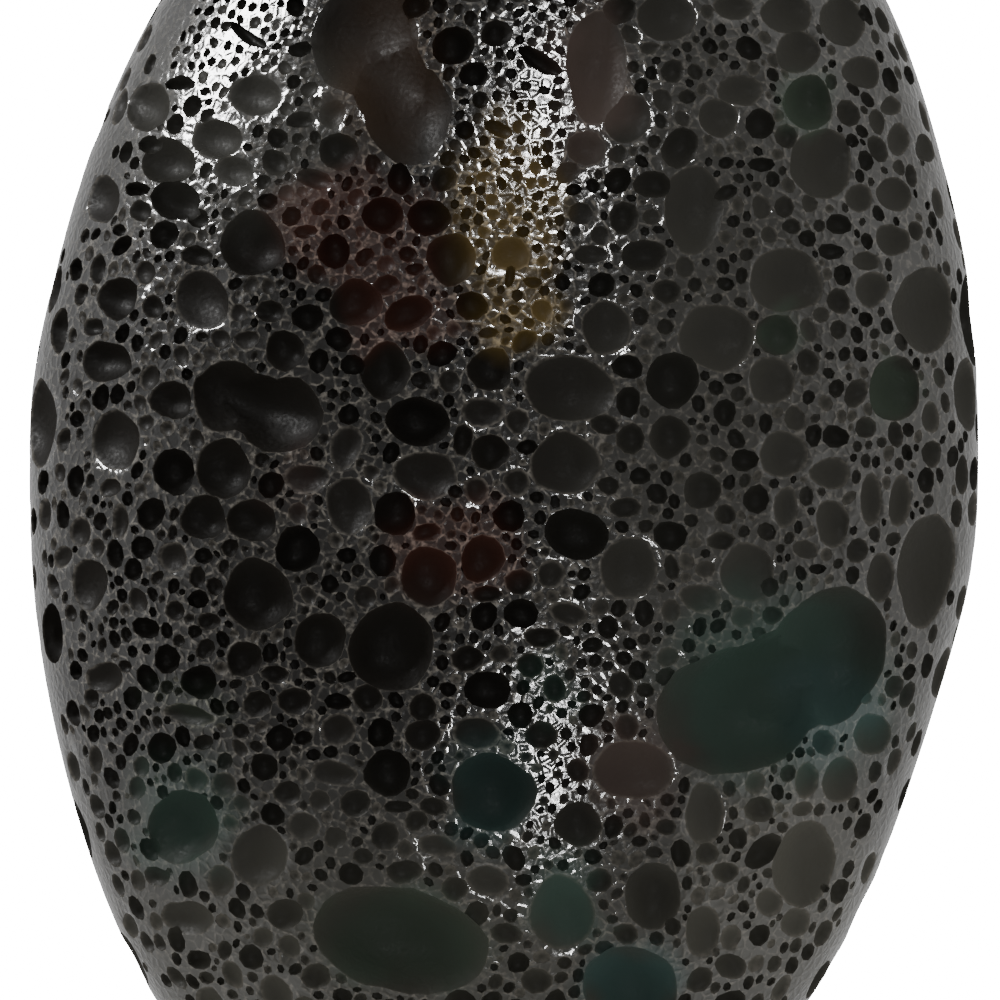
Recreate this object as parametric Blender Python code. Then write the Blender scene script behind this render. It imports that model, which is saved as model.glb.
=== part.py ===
"""Lava rock: one oval stone of dark vesicular lava, ground smooth, its gas bubbles opened as pits all round.

The stone lies on a ground flat at z = 0, its long axis along Y and its broad face up. The origin is on that
flat's plane, under the middle of the stone. Sizes are in metres: millimetre values are multiplied by MM.
"""

import math
import random
from typing import NamedTuple

import bmesh
import bpy
from mathutils import Matrix, Vector

MM = 0.001

# Driving dimensions of the stone
LENGTH = 95.0 * MM
WIDTH = 61.8 * MM
HEIGHT = 36.9 * MM
GROUND_OFF = 1.4 * MM  # taken off the underside, which leaves the flat that it rests on
HALF = Vector((WIDTH / 2, LENGTH / 2, (HEIGHT + GROUND_OFF) / 2))
CENTRE = Vector((0.0, 0.0, HALF.z - GROUND_OFF))

BODY_SUBDIVISIONS = 4
CUTTER_DETAIL = ((2.2 * MM, (7, 4)), (2.9 * MM, (8, 4)), (1.0, (12, 5)))  # sides and rings, up to a half width
TOP = Vector((0.0, 0.0, 1.0))
UP_THE_STONE = Vector((0.0, 1.0, 0.0))
STEEPEST_STRETCH = 2.6  # limit on how far a pit near the rim is stretched down the flank


class Swell(NamedTuple):
    """A broad rise or fall of the ground surface, in mm."""

    x: float
    y: float
    z: float  # above the stone's centre
    rise: float
    reach: float


SWELLS = (
    Swell(31, -4, 0, 0.35, 4.5),
    Swell(29, -17, 0, -0.35, 7),
    Swell(27, 23, 0, -0.25, 5),
    Swell(-31, 3, 0, 0.3, 4),
    Swell(-27, -21, 0, -0.22, 7),
    Swell(-17, -40, 0, 0.45, 8),
    Swell(20, -37, 0, 0.6, 8),
    Swell(-9, 17, 17, -0.35, 10),
    Swell(10, -20, 17, 0.25, 12),
    Swell(8, 15, -16, -0.4, 12),
    Swell(-12, -18, -15, 0.3, 12),
)


class Form(NamedTuple):
    """How a bubble was cut by the ground surface, in shares of the pit's mean half width."""

    depth: float
    rise: float  # of the bubble's middle above the surface


DISH = Form(0.42, 0.75)
BOWL = Form(0.8, 0.35)
BUBBLE = Form(1.15, -0.15)


class Pit(NamedTuple):
    """A pit of the upper face, in mm, seen from above."""

    x: float
    y: float
    width: float
    length: float
    form: Form
    turn: float = 0.0  # degrees, from X towards Y


UPPER_PITS = (
    # The kidney-shaped hollow, three bubbles run together
    Pit(16.3, -14.8, 10.0, 7.4, BOWL, 15),
    Pit(22.0, -10.9, 7.0, 8.2, BOWL, -20),
    Pit(19.0, -13.6, 6.4, 6.6, BOWL),
    # The broad hollows towards the two ends
    Pit(-4.4, -31.2, 10.8, 6.2, BOWL, -8),
    Pit(10.6, -33.4, 5.6, 5.4, BOWL),
    Pit(-11.1, 26.6, 6.5, 7.2, DISH),
    Pit(-7.8, 21.9, 5.2, 6.0, DISH),
    Pit(4.0, 25.7, 3.6, 6.8, DISH),
    # Across the middle, from the top of the face down
    Pit(8.3, 29.4, 3.5, 3.0, DISH),
    Pit(16.2, 30.3, 3.2, 2.6, DISH),
    Pit(19.8, 30.2, 2.8, 3.2, DISH),
    Pit(17.0, 27.9, 2.8, 2.5, DISH),
    Pit(-5.3, 26.5, 2.4, 2.5, BUBBLE),
    Pit(17.9, 24.7, 3.1, 3.2, BOWL),
    Pit(6.2, 22.6, 2.8, 3.0, DISH),
    Pit(-17.8, 22.4, 3.3, 2.2, DISH),
    Pit(-24.8, 21.3, 2.8, 3.1, DISH),
    Pit(19.0, 20.8, 3.9, 4.1, DISH),
    Pit(-20.0, 19.4, 3.2, 2.6, DISH),
    Pit(-23.2, 17.8, 3.2, 2.7, BOWL),
    Pit(10.9, 17.1, 3.6, 5.2, DISH),
    Pit(-22.6, 15.3, 2.9, 2.4, BUBBLE),
    Pit(-9.0, 15.2, 2.5, 2.3, BUBBLE),
    Pit(-6.1, 15.4, 2.5, 2.3, BUBBLE),
    Pit(7.8, 13.9, 2.8, 2.0, BOWL),
    Pit(-17.2, 12.8, 3.8, 3.9, BOWL),
    Pit(17.3, 12.9, 4.5, 3.7, DISH),
    Pit(-4.4, 12.8, 3.0, 3.1, BOWL),
    Pit(26.6, 11.9, 4.0, 5.2, DISH),
    Pit(-20.2, 9.2, 3.3, 3.5, DISH),
    Pit(-10.2, 9.6, 3.3, 2.8, BOWL, 30),
    Pit(-6.9, 9.0, 3.1, 2.2, BOWL, 20),
    Pit(5.8, 9.0, 3.1, 3.0, DISH),
    Pit(13.0, 9.0, 4.6, 3.9, DISH),
    Pit(16.9, 9.4, 2.7, 2.5, BOWL),
    Pit(-25.8, 8.8, 2.5, 2.6, BOWL),
    Pit(24.8, 6.6, 3.1, 3.9, BOWL),
    Pit(-14.6, 6.1, 2.5, 2.8, BOWL),
    Pit(10.4, 6.1, 3.0, 3.3, BUBBLE),
    Pit(-1.3, 5.9, 2.7, 2.7, BOWL),
    Pit(-8.0, 5.3, 3.1, 3.3, BOWL),
    Pit(3.8, 5.0, 5.4, 4.0, DISH),
    Pit(-26.2, 4.6, 3.0, 2.4, BOWL),
    Pit(-18.0, 3.0, 4.0, 4.4, BOWL),
    Pit(-14.6, 2.0, 5.4, 4.4, BOWL),
    Pit(-21.7, 2.4, 2.6, 2.4, BOWL),
    Pit(-5.7, 2.2, 3.7, 2.9, BUBBLE),
    Pit(10.5, 2.6, 2.7, 2.7, BOWL),
    Pit(17.8, 1.8, 3.0, 2.9, DISH),
    Pit(3.9, 0.2, 4.4, 3.9, DISH),
    Pit(-25.2, -0.4, 3.1, 3.5, DISH),
    Pit(-5.0, -1.2, 3.9, 3.0, DISH),
    Pit(-21.2, -2.2, 2.6, 2.8, BUBBLE),
    Pit(-18.0, -1.8, 3.2, 3.7, BOWL),
    Pit(-6.7, -3.9, 2.5, 2.7, BUBBLE),
    Pit(5.0, -4.2, 3.7, 3.1, BUBBLE),
    Pit(-15.9, -4.9, 3.1, 2.8, BOWL),
    Pit(-19.0, -5.0, 2.9, 2.8, BOWL),
    Pit(27.9, -5.0, 3.6, 6.8, DISH),
    Pit(-12.8, -6.5, 2.7, 2.9, BUBBLE),
    Pit(-1.0, -6.3, 2.8, 2.9, BOWL),
    Pit(8.4, -6.2, 3.5, 3.9, DISH),
    Pit(16.0, -6.0, 3.3, 3.6, DISH),
    Pit(-4.3, -7.7, 3.3, 3.6, BOWL),
    Pit(-15.2, -9.8, 4.2, 4.4, BOWL),
    Pit(-10.9, -12.2, 3.1, 3.3, BOWL),
    Pit(-6.3, -12.4, 5.2, 5.4, BOWL),
    Pit(0.0, -14.6, 2.8, 2.2, BUBBLE),
    Pit(-0.5, -17.7, 3.2, 2.5, DISH),
    Pit(9.7, -19.1, 4.7, 3.6, DISH),
    Pit(23.2, -18.9, 2.5, 3.0, DISH),
    Pit(-6.0, -20.4, 2.9, 2.8, BUBBLE),
    Pit(0.8, -21.2, 5.1, 4.7, BOWL),
    Pit(14.8, -21.6, 2.7, 3.9, DISH),
    Pit(6.4, -22.8, 2.8, 2.7, BOWL),
    Pit(21.2, -24.4, 4.0, 5.2, DISH),
    Pit(-19.0, -25.0, 4.4, 4.5, BOWL),
    Pit(-13.4, -26.4, 3.9, 3.9, DISH),
    Pit(11.6, -27.1, 3.4, 4.0, BOWL),
    Pit(5.8, -28.5, 3.6, 4.4, DISH),
    Pit(-18.3, -30.8, 3.6, 2.2, DISH),
)

# The pits that no photograph shows: the underside, the flanks and the two ends
SEED = 20
TRIES = 9000
HIDDEN_PITS = 84
WIDEST = 6.4 * MM
NARROWEST = 2.9 * MM
WALL_SHARE = 1.03  # least distance between two pits' middles, in the sum of their half widths
SEEN_LOW, SEEN_HIGH = -35.0 * MM, 31.5 * MM  # the stretch of Y in which the upper pits are placed by eye
FLANK_RISE = 0.42  # the upper pits reach down to where the surface faces up by this much
REST_CLEARANCE = 5.0 * MM  # no pit's middle lies nearer to the origin, where the stone is said to rest


def ground_surface(direction):
    """The point of the ground stone that lies in a unit direction of its half axes, and its outward normal."""
    point = Vector(half * part for half, part in zip(HALF, direction))
    normal = Vector(part / half for half, part in zip(HALF, direction)).normalized()
    rise = 0.0
    for swell in SWELLS:
        away = (point - Vector((swell.x, swell.y, swell.z)) * MM).length / (swell.reach * MM)
        rise += swell.rise * MM * math.exp(-away * away / 2)
    return CENTRE + point + normal * rise, normal


def make_body():
    """The ground stone before its pits: an ellipsoid with its swells, cut flat where it rests."""
    body = bmesh.new()
    bmesh.ops.create_icosphere(body, subdivisions=BODY_SUBDIVISIONS, radius=1.0)
    for vert in body.verts:
        vert.co = ground_surface(vert.co.normalized())[0]
    everything = body.verts[:] + body.edges[:] + body.faces[:]
    cut = bmesh.ops.bisect_plane(body, geom=everything, plane_co=(0, 0, 0), plane_no=TOP, clear_inner=True)
    rim = [piece for piece in cut["geom_cut"] if isinstance(piece, bmesh.types.BMEdge)]
    bmesh.ops.contextual_create(body, geom=rim)
    bmesh.ops.recalc_face_normals(body, faces=body.faces[:])
    return body


def bubble_frame(point, normal, across, along, form):
    """The matrix that turns a unit sphere into a bubble, from its pit's half axes along the surface."""
    half_width = math.sqrt(across.length * along.length)
    depth = form.depth * half_width
    middle = form.rise * half_width
    swell = middle + depth
    opening = math.sqrt(1 - (middle / swell) ** 2)
    centre = point + normal * middle
    columns = (across / opening, along / opening, normal * swell)
    return Matrix.Translation(centre) @ Matrix(columns).transposed().to_4x4()


def upper_bubble(pit):
    """The bubble of a pit of the upper face, stretched down the slope so that it looks right from above."""
    flat_x = pit.x * MM / HALF.x
    flat_y = pit.y * MM / HALF.y
    point, normal = ground_surface(Vector((flat_x, flat_y, math.sqrt(1 - flat_x**2 - flat_y**2))))
    turn = math.radians(pit.turn)

    def down_the_slope(half, angle):
        """A half axis seen from above, laid on the slope."""
        flat = Vector((math.cos(angle), math.sin(angle), 0.0)) * half * MM
        flat.z = -flat.dot(normal) / normal.z
        longest = STEEPEST_STRETCH * half * MM
        return flat * min(1.0, longest / flat.length)

    across = down_the_slope(pit.width / 2, turn)
    along = down_the_slope(pit.length / 2, turn + math.pi / 2)
    return bubble_frame(point, normal, across, along, pit.form)


def hidden_bubbles():
    """Bubbles of mixed sizes, spread by chance over the parts of the stone that are away from the upper face."""
    chance = random.Random(SEED)
    placed = []
    bubbles = []
    for attempt in range(TRIES):
        if len(bubbles) == HIDDEN_PITS:
            break
        direction = Vector((chance.gauss(0, 1), chance.gauss(0, 1), chance.gauss(0, 1))).normalized()
        area_share = HALF.z * Vector(part / half for half, part in zip(HALF, direction)).length
        point, normal = ground_surface(direction)
        if point.z < 0:
            point.z = 0.0
            normal = -TOP
        width = WIDEST + (NARROWEST - WIDEST) * min(1.0, attempt / TRIES * 9 + 0.5 * chance.random())
        form = chance.choice((DISH, BOWL, BOWL, BUBBLE))
        stretch = 1 + 0.3 * chance.random()
        turn = chance.uniform(0, math.pi)
        seen = normal.z > FLANK_RISE and SEEN_LOW < point.y < SEEN_HIGH
        on_rest = point.length < REST_CLEARANCE
        crowded = any((point - other).length < WALL_SHARE * (width + wide) / 2 for other, wide in placed)
        if seen or on_rest or crowded or chance.random() > area_share:
            continue
        placed.append((point, width))
        tangent = normal.cross(UP_THE_STONE.cross(normal)).normalized()
        tangent.rotate(Matrix.Rotation(turn, 3, normal))
        across = tangent * width / 2 * stretch
        along = normal.cross(tangent) * width / 2 / stretch
        bubbles.append(bubble_frame(point, normal, across, along, form))
    return bubbles


def keep_apart(bubbles):
    """The bubbles in batches, so that no two in one batch meet."""
    batches = []
    for frame in bubbles:
        reach = max(column.length for column in frame.to_3x3().col)
        for batch in batches:
            if all((frame.translation - other.translation).length > reach + far for other, far in batch):
                batch.append((frame, reach))
                break
        else:
            batches.append([(frame, reach)])
    return [[frame for frame, _ in batch] for batch in batches]


def make_cutter(name, frames):
    """One wire object that holds the bubbles of a batch."""
    shape = bmesh.new()
    for frame in frames:
        half_width = math.sqrt(frame.to_3x3().col[0].length * frame.to_3x3().col[1].length)
        sides, rings = next(detail for limit, detail in CUTTER_DETAIL if half_width < limit)
        bmesh.ops.create_uvsphere(shape, u_segments=sides, v_segments=rings, radius=1.0, matrix=frame)
    bmesh.ops.recalc_face_normals(shape, faces=shape.faces[:])
    mesh = bpy.data.meshes.new(name)
    shape.to_mesh(mesh)
    shape.free()
    cutter = bpy.data.objects.new(name, mesh)
    cutter.hide_render = True
    cutter.display_type = "WIRE"
    bpy.context.scene.collection.objects.link(cutter)
    return cutter


def lava_material():
    """Dark glassy lava with a dull sheen."""
    material = bpy.data.materials.new("lava")
    material.use_nodes = True
    shader = material.node_tree.nodes["Principled BSDF"]
    shader.inputs["Base Color"].default_value = (0.028, 0.027, 0.025, 1.0)
    shader.inputs["Roughness"].default_value = 0.35
    shader.inputs["Metallic"].default_value = 0.0
    return material


def make_stone():
    """The stone: its ground body with every batch of bubbles cut out of it."""
    mesh = bpy.data.meshes.new("lava_rock")
    body = make_body()
    body.to_mesh(mesh)
    body.free()
    mesh.materials.append(lava_material())
    mesh.shade_smooth()
    stone = bpy.data.objects.new("lava_rock", mesh)
    bpy.context.scene.collection.objects.link(stone)
    bubbles = [upper_bubble(pit) for pit in UPPER_PITS] + hidden_bubbles()
    for number, frames in enumerate(keep_apart(bubbles)):
        cut = stone.modifiers.new(f"pits_{number}", "BOOLEAN")
        cut.operation = "DIFFERENCE"
        cut.solver = "EXACT"
        cut.object = make_cutter(f"pits_{number}", frames)
    return stone


for item in list(bpy.data.objects):
    bpy.data.objects.remove(item)
make_stone()
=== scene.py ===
"""The looks of the lava rock: its fine mesh with every visible bubble, its glass, the light and the camera.

The stone's middle is over the origin and it rests on z = 0. Its long axis is Y and its broad face is up.
Sizes are in metres, and millimetre values are multiplied by MM. The photograph looks straight down on the
stone.
"""

import logging
import math
from collections.abc import Iterator, Sequence
from dataclasses import dataclass, field
from enum import Enum

import bmesh
import bpy
import numpy as np
from mathutils import Matrix, Vector, noise


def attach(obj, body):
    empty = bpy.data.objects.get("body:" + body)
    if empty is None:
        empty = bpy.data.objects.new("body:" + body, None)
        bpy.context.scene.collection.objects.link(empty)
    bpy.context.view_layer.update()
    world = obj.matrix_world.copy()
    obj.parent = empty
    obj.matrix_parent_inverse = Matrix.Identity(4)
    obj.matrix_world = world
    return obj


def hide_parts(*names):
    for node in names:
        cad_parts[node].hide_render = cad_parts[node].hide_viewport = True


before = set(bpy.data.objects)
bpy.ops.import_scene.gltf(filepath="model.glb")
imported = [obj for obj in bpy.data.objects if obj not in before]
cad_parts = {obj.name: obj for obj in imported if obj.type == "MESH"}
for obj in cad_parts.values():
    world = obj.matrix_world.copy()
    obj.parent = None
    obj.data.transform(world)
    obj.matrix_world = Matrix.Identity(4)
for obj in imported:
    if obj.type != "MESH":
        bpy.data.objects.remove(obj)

logging.basicConfig(level=logging.INFO, format="%(name)s: %(message)s")
log = logging.getLogger("lava_rock")

MM = 0.001
NODE = "lava_rock"
NOISE_SEED = 7  # without it, the soft noise would differ from run to run

# The ground stone, as in the solid model
LENGTH = 95.0 * MM
WIDTH = 61.8 * MM
HEIGHT = 36.9 * MM
GROUND_OFF = 1.4 * MM
FACET_LOSS = 0.05 * MM  # the solid's facets lie this far inside its round form, and so does the fine mesh
HALF = np.array([WIDTH / 2, LENGTH / 2, (HEIGHT + GROUND_OFF) / 2]) - FACET_LOSS
CENTRE = np.array([0.0, 0.0, HALF[2] - GROUND_OFF])

# The photograph's framing
PHOTO_PIXELS = 1000
PIXELS_PER_MM = 15.3
STONE_MIDDLE_PX = (504.0, 462.9)
STONE_LEAN = math.radians(4.25)  # the stone's long axis leans to the right of upright


@dataclass(frozen=True)
class Swell:
    """A broad rise or fall of the ground surface, in mm, at a place counted from the stone's middle."""

    x: float
    y: float
    z: float
    rise: float
    reach: float


SWELLS = (
    Swell(31, -4, 0, 0.35, 4.5),
    Swell(29, -17, 0, -0.35, 7),
    Swell(27, 23, 0, -0.25, 5),
    Swell(-31, 3, 0, 0.3, 4),
    Swell(-27, -21, 0, -0.22, 7),
    Swell(-17, -40, 0, 0.45, 8),
    Swell(20, -37, 0, 0.6, 8),
    Swell(-9, 17, 17, -0.35, 10),
    Swell(10, -20, 17, 0.25, 12),
    Swell(8, 15, -16, -0.4, 12),
    Swell(-12, -18, -15, 0.3, 12),
)


class Form(Enum):
    """How a bubble was cut by the ground surface: its depth, and how far its middle lies above the surface.

    Both are shares of the pit's mean half width.
    """

    DISH = (0.42, 0.75)
    BOWL = (0.8, 0.35)
    BUBBLE = (1.15, -0.15)


@dataclass(frozen=True)
class Pit:
    """A pit of the upper face, in mm, as seen from above; turn is in degrees from X towards Y."""

    x: float
    y: float
    width: float
    length: float
    form: Form = Form.BOWL
    turn: float = 0.0


# The forms' short names, for the list of pits
D, B, U = Form.DISH, Form.BOWL, Form.BUBBLE

UPPER_PITS = (
    # The kidney-shaped hollow, bubbles run together
    Pit(16.3, -14.8, 10.0, 7.4, B, 15),
    Pit(22.0, -10.9, 7.0, 8.2, B, -20),
    Pit(18.6, -13.2, 14.6, 6.4, B, 27),
    # The broad hollows towards the two ends
    Pit(-4.4, -31.2, 10.8, 6.2, B, -8),
    Pit(10.6, -33.4, 5.6, 5.4, B),
    Pit(-11.1, 26.6, 6.5, 7.2, D),
    Pit(-7.8, 21.9, 5.2, 6.0, D),
    Pit(-9.5, 24.3, 10.5, 4.8, D, -55),
    Pit(4.0, 25.7, 3.6, 6.8, D),
    # The upper end of the face
    Pit(5.2, 29.5, 2.2, 1.8, B),
    Pit(8.3, 29.4, 3.5, 3.0, D),
    Pit(12.6, 30.4, 2.7, 1.7, D),
    Pit(16.2, 30.3, 3.2, 2.6, D),
    Pit(19.8, 30.2, 2.8, 3.2, D),
    Pit(-8.0, 28.9, 2.0, 1.5, U),
    Pit(17.0, 27.9, 2.8, 2.5, D),
    Pit(-2.6, 27.5, 2.2, 1.8, B),
    Pit(21.3, 27.0, 2.4, 2.0, D),
    Pit(-5.3, 26.5, 2.4, 2.5, U),
    Pit(0.4, 25.9, 2.9, 1.2, U, -25),
    Pit(-15.2, 25.5, 1.5, 0.9, U, 20),
    Pit(17.9, 24.7, 3.1, 3.2, B),
    Pit(23.4, 24.8, 1.4, 1.2, D),
    Pit(10.0, 24.4, 1.2, 1.0, B),
    Pit(13.4, 24.9, 2.6, 2.0, D),
    Pit(-18.6, 26.4, 2.9, 0.8, U, -32),
    Pit(12.0, 23.0, 2.3, 2.5, D),
    Pit(14.8, 23.0, 2.1, 1.6, U),
    Pit(-22.8, 22.9, 2.0, 0.9, U, 10),
    Pit(6.2, 22.6, 2.8, 3.0, D),
    Pit(24.0, 22.8, 1.4, 1.8, D),
    Pit(26.0, 22.4, 1.4, 1.8, D),
    Pit(-17.8, 22.4, 3.3, 2.2, D),
    Pit(16.6, 22.3, 1.4, 1.4, B),
    Pit(-2.0, 21.4, 1.8, 1.0, B, -20),
    Pit(-24.8, 21.3, 2.8, 3.1, D),
    Pit(9.7, 21.0, 2.1, 2.5, B),
    Pit(-14.8, 21.0, 1.8, 1.1, B),
    Pit(19.0, 20.8, 3.9, 4.1, D),
    Pit(3.7, 20.5, 2.4, 2.2, D),
    Pit(15.0, 20.3, 1.6, 1.1, U),
    # Below it, down to the middle
    Pit(-20.0, 19.4, 3.2, 2.6, D),
    Pit(-12.2, 19.2, 2.5, 2.3, B),
    Pit(24.0, 19.2, 2.1, 2.0, D),
    Pit(-24.6, 18.9, 1.3, 1.0, U),
    Pit(2.6, 18.9, 1.6, 1.5, D),
    Pit(21.6, 18.8, 2.0, 1.7, D),
    Pit(8.3, 18.5, 2.5, 1.7, B),
    Pit(12.9, 18.2, 1.4, 0.8, U, 20),
    Pit(-23.2, 17.8, 3.2, 2.7, B),
    Pit(-8.1, 17.7, 1.5, 2.0, U),
    Pit(-13.7, 17.4, 2.4, 1.1, B, -10),
    Pit(-18.8, 17.3, 2.3, 1.7, D),
    Pit(10.9, 17.1, 3.6, 5.2, D),
    Pit(20.3, 17.0, 1.5, 1.3, U),
    Pit(13.5, 16.6, 0.8, 0.8, U),
    Pit(6.5, 16.2, 1.9, 2.0, B),
    Pit(24.0, 16.2, 2.4, 2.0, D),
    Pit(-25.1, 15.8, 1.7, 1.2, U),
    Pit(-13.2, 15.6, 1.3, 1.3, B),
    Pit(-6.1, 15.4, 2.5, 2.2, U),
    Pit(-22.6, 15.3, 2.9, 2.4, U),
    Pit(-9.0, 15.2, 2.4, 2.1, U),
    Pit(-27.3, 15.2, 1.9, 3.0, D),
    Pit(20.0, 15.1, 1.4, 1.2, U),
    Pit(-14.9, 14.9, 1.1, 1.3, U),
    Pit(22.2, 14.7, 1.8, 1.1, D),
    Pit(14.6, 14.3, 1.0, 0.8, B),
    Pit(-21.0, 14.2, 1.4, 1.2, U),
    Pit(-24.7, 14.3, 1.3, 1.2, B),
    Pit(-13.9, 13.9, 1.4, 1.0, B),
    Pit(7.8, 13.9, 2.8, 1.9, B),
    Pit(4.5, 13.8, 2.0, 1.3, D),
    Pit(-0.6, 13.3, 2.2, 2.2, D),
    Pit(-26.0, 13.3, 0.8, 0.8, U),
    Pit(-23.0, 13.0, 1.8, 1.8, U),
    Pit(17.3, 12.9, 4.5, 3.7, D),
    Pit(-17.2, 12.8, 3.8, 3.9, B),
    Pit(-4.4, 12.8, 3.0, 3.1, B),
    Pit(22.9, 13.0, 2.1, 2.2, D),
    Pit(-12.0, 12.7, 2.2, 2.1, U),
    Pit(13.3, 12.6, 1.1, 0.8, U),
    Pit(26.6, 11.9, 4.0, 5.2, D),
    Pit(-13.9, 11.9, 0.8, 0.8, U),
    Pit(-6.8, 11.9, 1.3, 0.9, B),
    Pit(-0.5, 11.8, 0.6, 1.3, U),
    Pit(1.0, 11.7, 1.4, 0.7, B),
    Pit(-20.7, 11.7, 2.0, 1.2, B),
    Pit(-8.4, 10.9, 1.4, 1.3, B),
    Pit(-2.7, 9.8, 1.9, 1.8, U),
    Pit(-10.3, 9.6, 3.3, 2.8, B, 30),
    Pit(16.9, 9.4, 2.7, 2.5, B),
    Pit(-20.2, 9.0, 3.3, 3.5, D),
    Pit(-6.9, 9.0, 3.1, 2.2, B, 20),
    Pit(5.8, 9.0, 3.1, 2.9, D),
    Pit(13.0, 9.0, 4.6, 3.9, D),
    Pit(-25.8, 8.8, 2.5, 2.6, B),
    Pit(22.3, 8.6, 1.1, 0.9, U),
    Pit(-15.7, 8.5, 1.9, 1.3, B),
    Pit(-13.3, 8.4, 1.9, 1.6, U),
    Pit(-23.4, 8.3, 1.2, 1.4, B),
    Pit(-1.6, 8.2, 1.4, 0.7, B),
    Pit(24.8, 6.6, 3.1, 3.9, B),
    Pit(-27.2, 6.8, 1.3, 1.2, B),
    Pit(-17.3, 6.7, 1.7, 1.2, D),
    Pit(-18.9, 6.7, 1.2, 1.3, D),
    Pit(7.5, 6.6, 1.9, 1.7, U),
    Pit(16.7, 6.4, 2.9, 2.9, D),
    Pit(14.2, 6.5, 1.1, 0.8, U),
    Pit(-14.6, 6.1, 2.5, 2.6, B),
    Pit(10.4, 6.1, 3.0, 3.3, U),
    Pit(-1.3, 5.9, 2.7, 2.6, B),
    Pit(-10.2, 5.6, 1.6, 1.4, U),
    Pit(19.3, 5.6, 0.8, 0.9, U),
    Pit(-12.4, 5.5, 1.1, 1.6, U),
    Pit(-8.0, 5.3, 3.1, 3.3, B),
    Pit(3.8, 5.0, 5.4, 4.0, D),
    Pit(-5.7, 4.8, 1.2, 1.3, B),
    Pit(-3.8, 4.8, 1.8, 1.4, D),
    Pit(-26.2, 4.6, 3.0, 2.4, B),
    Pit(14.0, 4.2, 1.4, 1.7, U),
    Pit(21.2, 3.2, 1.8, 1.4, U),
    Pit(-18.0, 3.0, 4.0, 4.4, B),
    Pit(-14.6, 2.0, 5.4, 4.4, B),
    Pit(-16.2, 2.5, 8.0, 3.8, B, -16),
    Pit(-1.6, 3.1, 2.7, 1.8, D),
    Pit(6.2, 2.9, 1.7, 1.3, B),
    Pit(27.6, 2.7, 1.3, 1.7, B),
    Pit(10.5, 2.5, 2.6, 2.6, B),
    Pit(-21.7, 2.4, 2.6, 2.3, B),
    Pit(-5.7, 2.2, 3.7, 2.8, U),
    Pit(-10.2, 2.2, 1.3, 1.3, U),
    Pit(7.9, 2.2, 1.9, 1.9, B),
    Pit(17.8, 1.8, 3.0, 2.9, D),
    Pit(13.6, 1.6, 1.2, 1.1, B),
    Pit(15.3, 1.3, 1.7, 1.5, U),
    Pit(-2.8, 1.2, 1.3, 2.2, B),
    Pit(1.3, 1.2, 1.2, 1.1, U),
    Pit(20.9, 0.9, 2.4, 2.0, D),
    Pit(-27.8, 0.6, 1.0, 1.1, U),
    Pit(-0.9, 0.6, 2.5, 2.1, B),
    # From the middle down to the lower end
    Pit(-10.2, 0.1, 1.9, 2.7, D),
    Pit(3.9, 0.2, 4.4, 3.8, D),
    Pit(-7.3, 0.0, 1.1, 1.4, U),
    Pit(-25.2, -0.4, 3.1, 3.5, D),
    Pit(25.7, -0.6, 1.3, 3.2, D),
    Pit(23.8, -0.6, 1.4, 3.2, D),
    Pit(12.8, -0.8, 2.2, 2.2, B),
    Pit(19.7, -0.9, 0.9, 1.3, B),
    Pit(6.8, -1.0, 1.4, 1.2, B),
    Pit(-5.0, -1.2, 3.9, 2.9, D),
    Pit(18.3, -1.6, 1.7, 2.4, D),
    Pit(-18.0, -1.8, 3.1, 3.6, B),
    Pit(-12.5, -2.0, 3.0, 1.9, D),
    Pit(-21.2, -2.2, 2.6, 2.8, U),
    Pit(-3.1, -2.2, 0.9, 0.8, U),
    Pit(21.4, -2.3, 2.1, 2.8, D),
    Pit(8.0, -2.3, 1.9, 1.3, B),
    Pit(14.3, -2.3, 1.4, 1.3, B),
    Pit(-14.8, -2.6, 1.7, 1.6, U),
    Pit(25.5, -3.0, 0.9, 0.8, B),
    Pit(-9.6, -3.5, 2.8, 3.2, D),
    Pit(0.6, -3.5, 2.1, 2.1, U),
    Pit(-2.9, -3.6, 1.0, 1.0, B),
    Pit(-1.6, -3.6, 0.9, 0.9, B),
    Pit(-6.7, -3.9, 2.4, 2.6, U),
    Pit(11.0, -4.0, 2.3, 1.8, U),
    Pit(19.8, -4.1, 1.7, 1.1, D),
    Pit(14.2, -4.1, 1.8, 1.1, B),
    Pit(5.0, -4.2, 3.7, 3.0, U),
    Pit(2.3, -4.4, 0.8, 0.7, U),
    Pit(-4.6, -4.8, 1.8, 1.2, B, 15),
    Pit(-15.9, -4.9, 3.0, 2.6, B),
    Pit(-22.5, -4.9, 1.6, 1.9, U),
    Pit(-19.0, -5.0, 2.8, 2.7, B),
    Pit(27.9, -5.0, 3.6, 6.8, D),
    Pit(20.6, -5.2, 1.1, 0.7, U),
    Pit(24.8, -5.5, 1.7, 3.2, D),
    Pit(-24.3, -5.7, 1.1, 2.0, D),
    Pit(11.2, -5.9, 1.0, 1.7, B),
    Pit(16.0, -6.0, 3.2, 3.4, D),
    Pit(8.4, -6.2, 3.5, 3.8, D),
    Pit(-1.0, -6.3, 2.8, 2.8, B),
    Pit(-27.0, -6.5, 1.4, 1.9, D),
    Pit(-12.8, -6.5, 2.7, 2.8, U),
    Pit(17.5, -6.6, 1.1, 1.1, U),
    Pit(-9.6, -6.6, 1.4, 1.1, U),
    Pit(-17.2, -6.8, 1.2, 1.4, B),
    Pit(-7.2, -6.9, 1.6, 1.9, U),
    Pit(3.5, -6.9, 1.7, 1.9, D),
    Pit(-20.9, -7.6, 1.9, 1.8, D),
    Pit(13.1, -7.7, 2.7, 1.6, D),
    Pit(-4.3, -7.7, 3.2, 3.5, B),
    Pit(-28.0, -8.2, 1.2, 1.3, D),
    Pit(17.8, -8.5, 1.4, 1.3, B),
    Pit(-0.5, -8.5, 1.9, 1.1, B),
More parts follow.
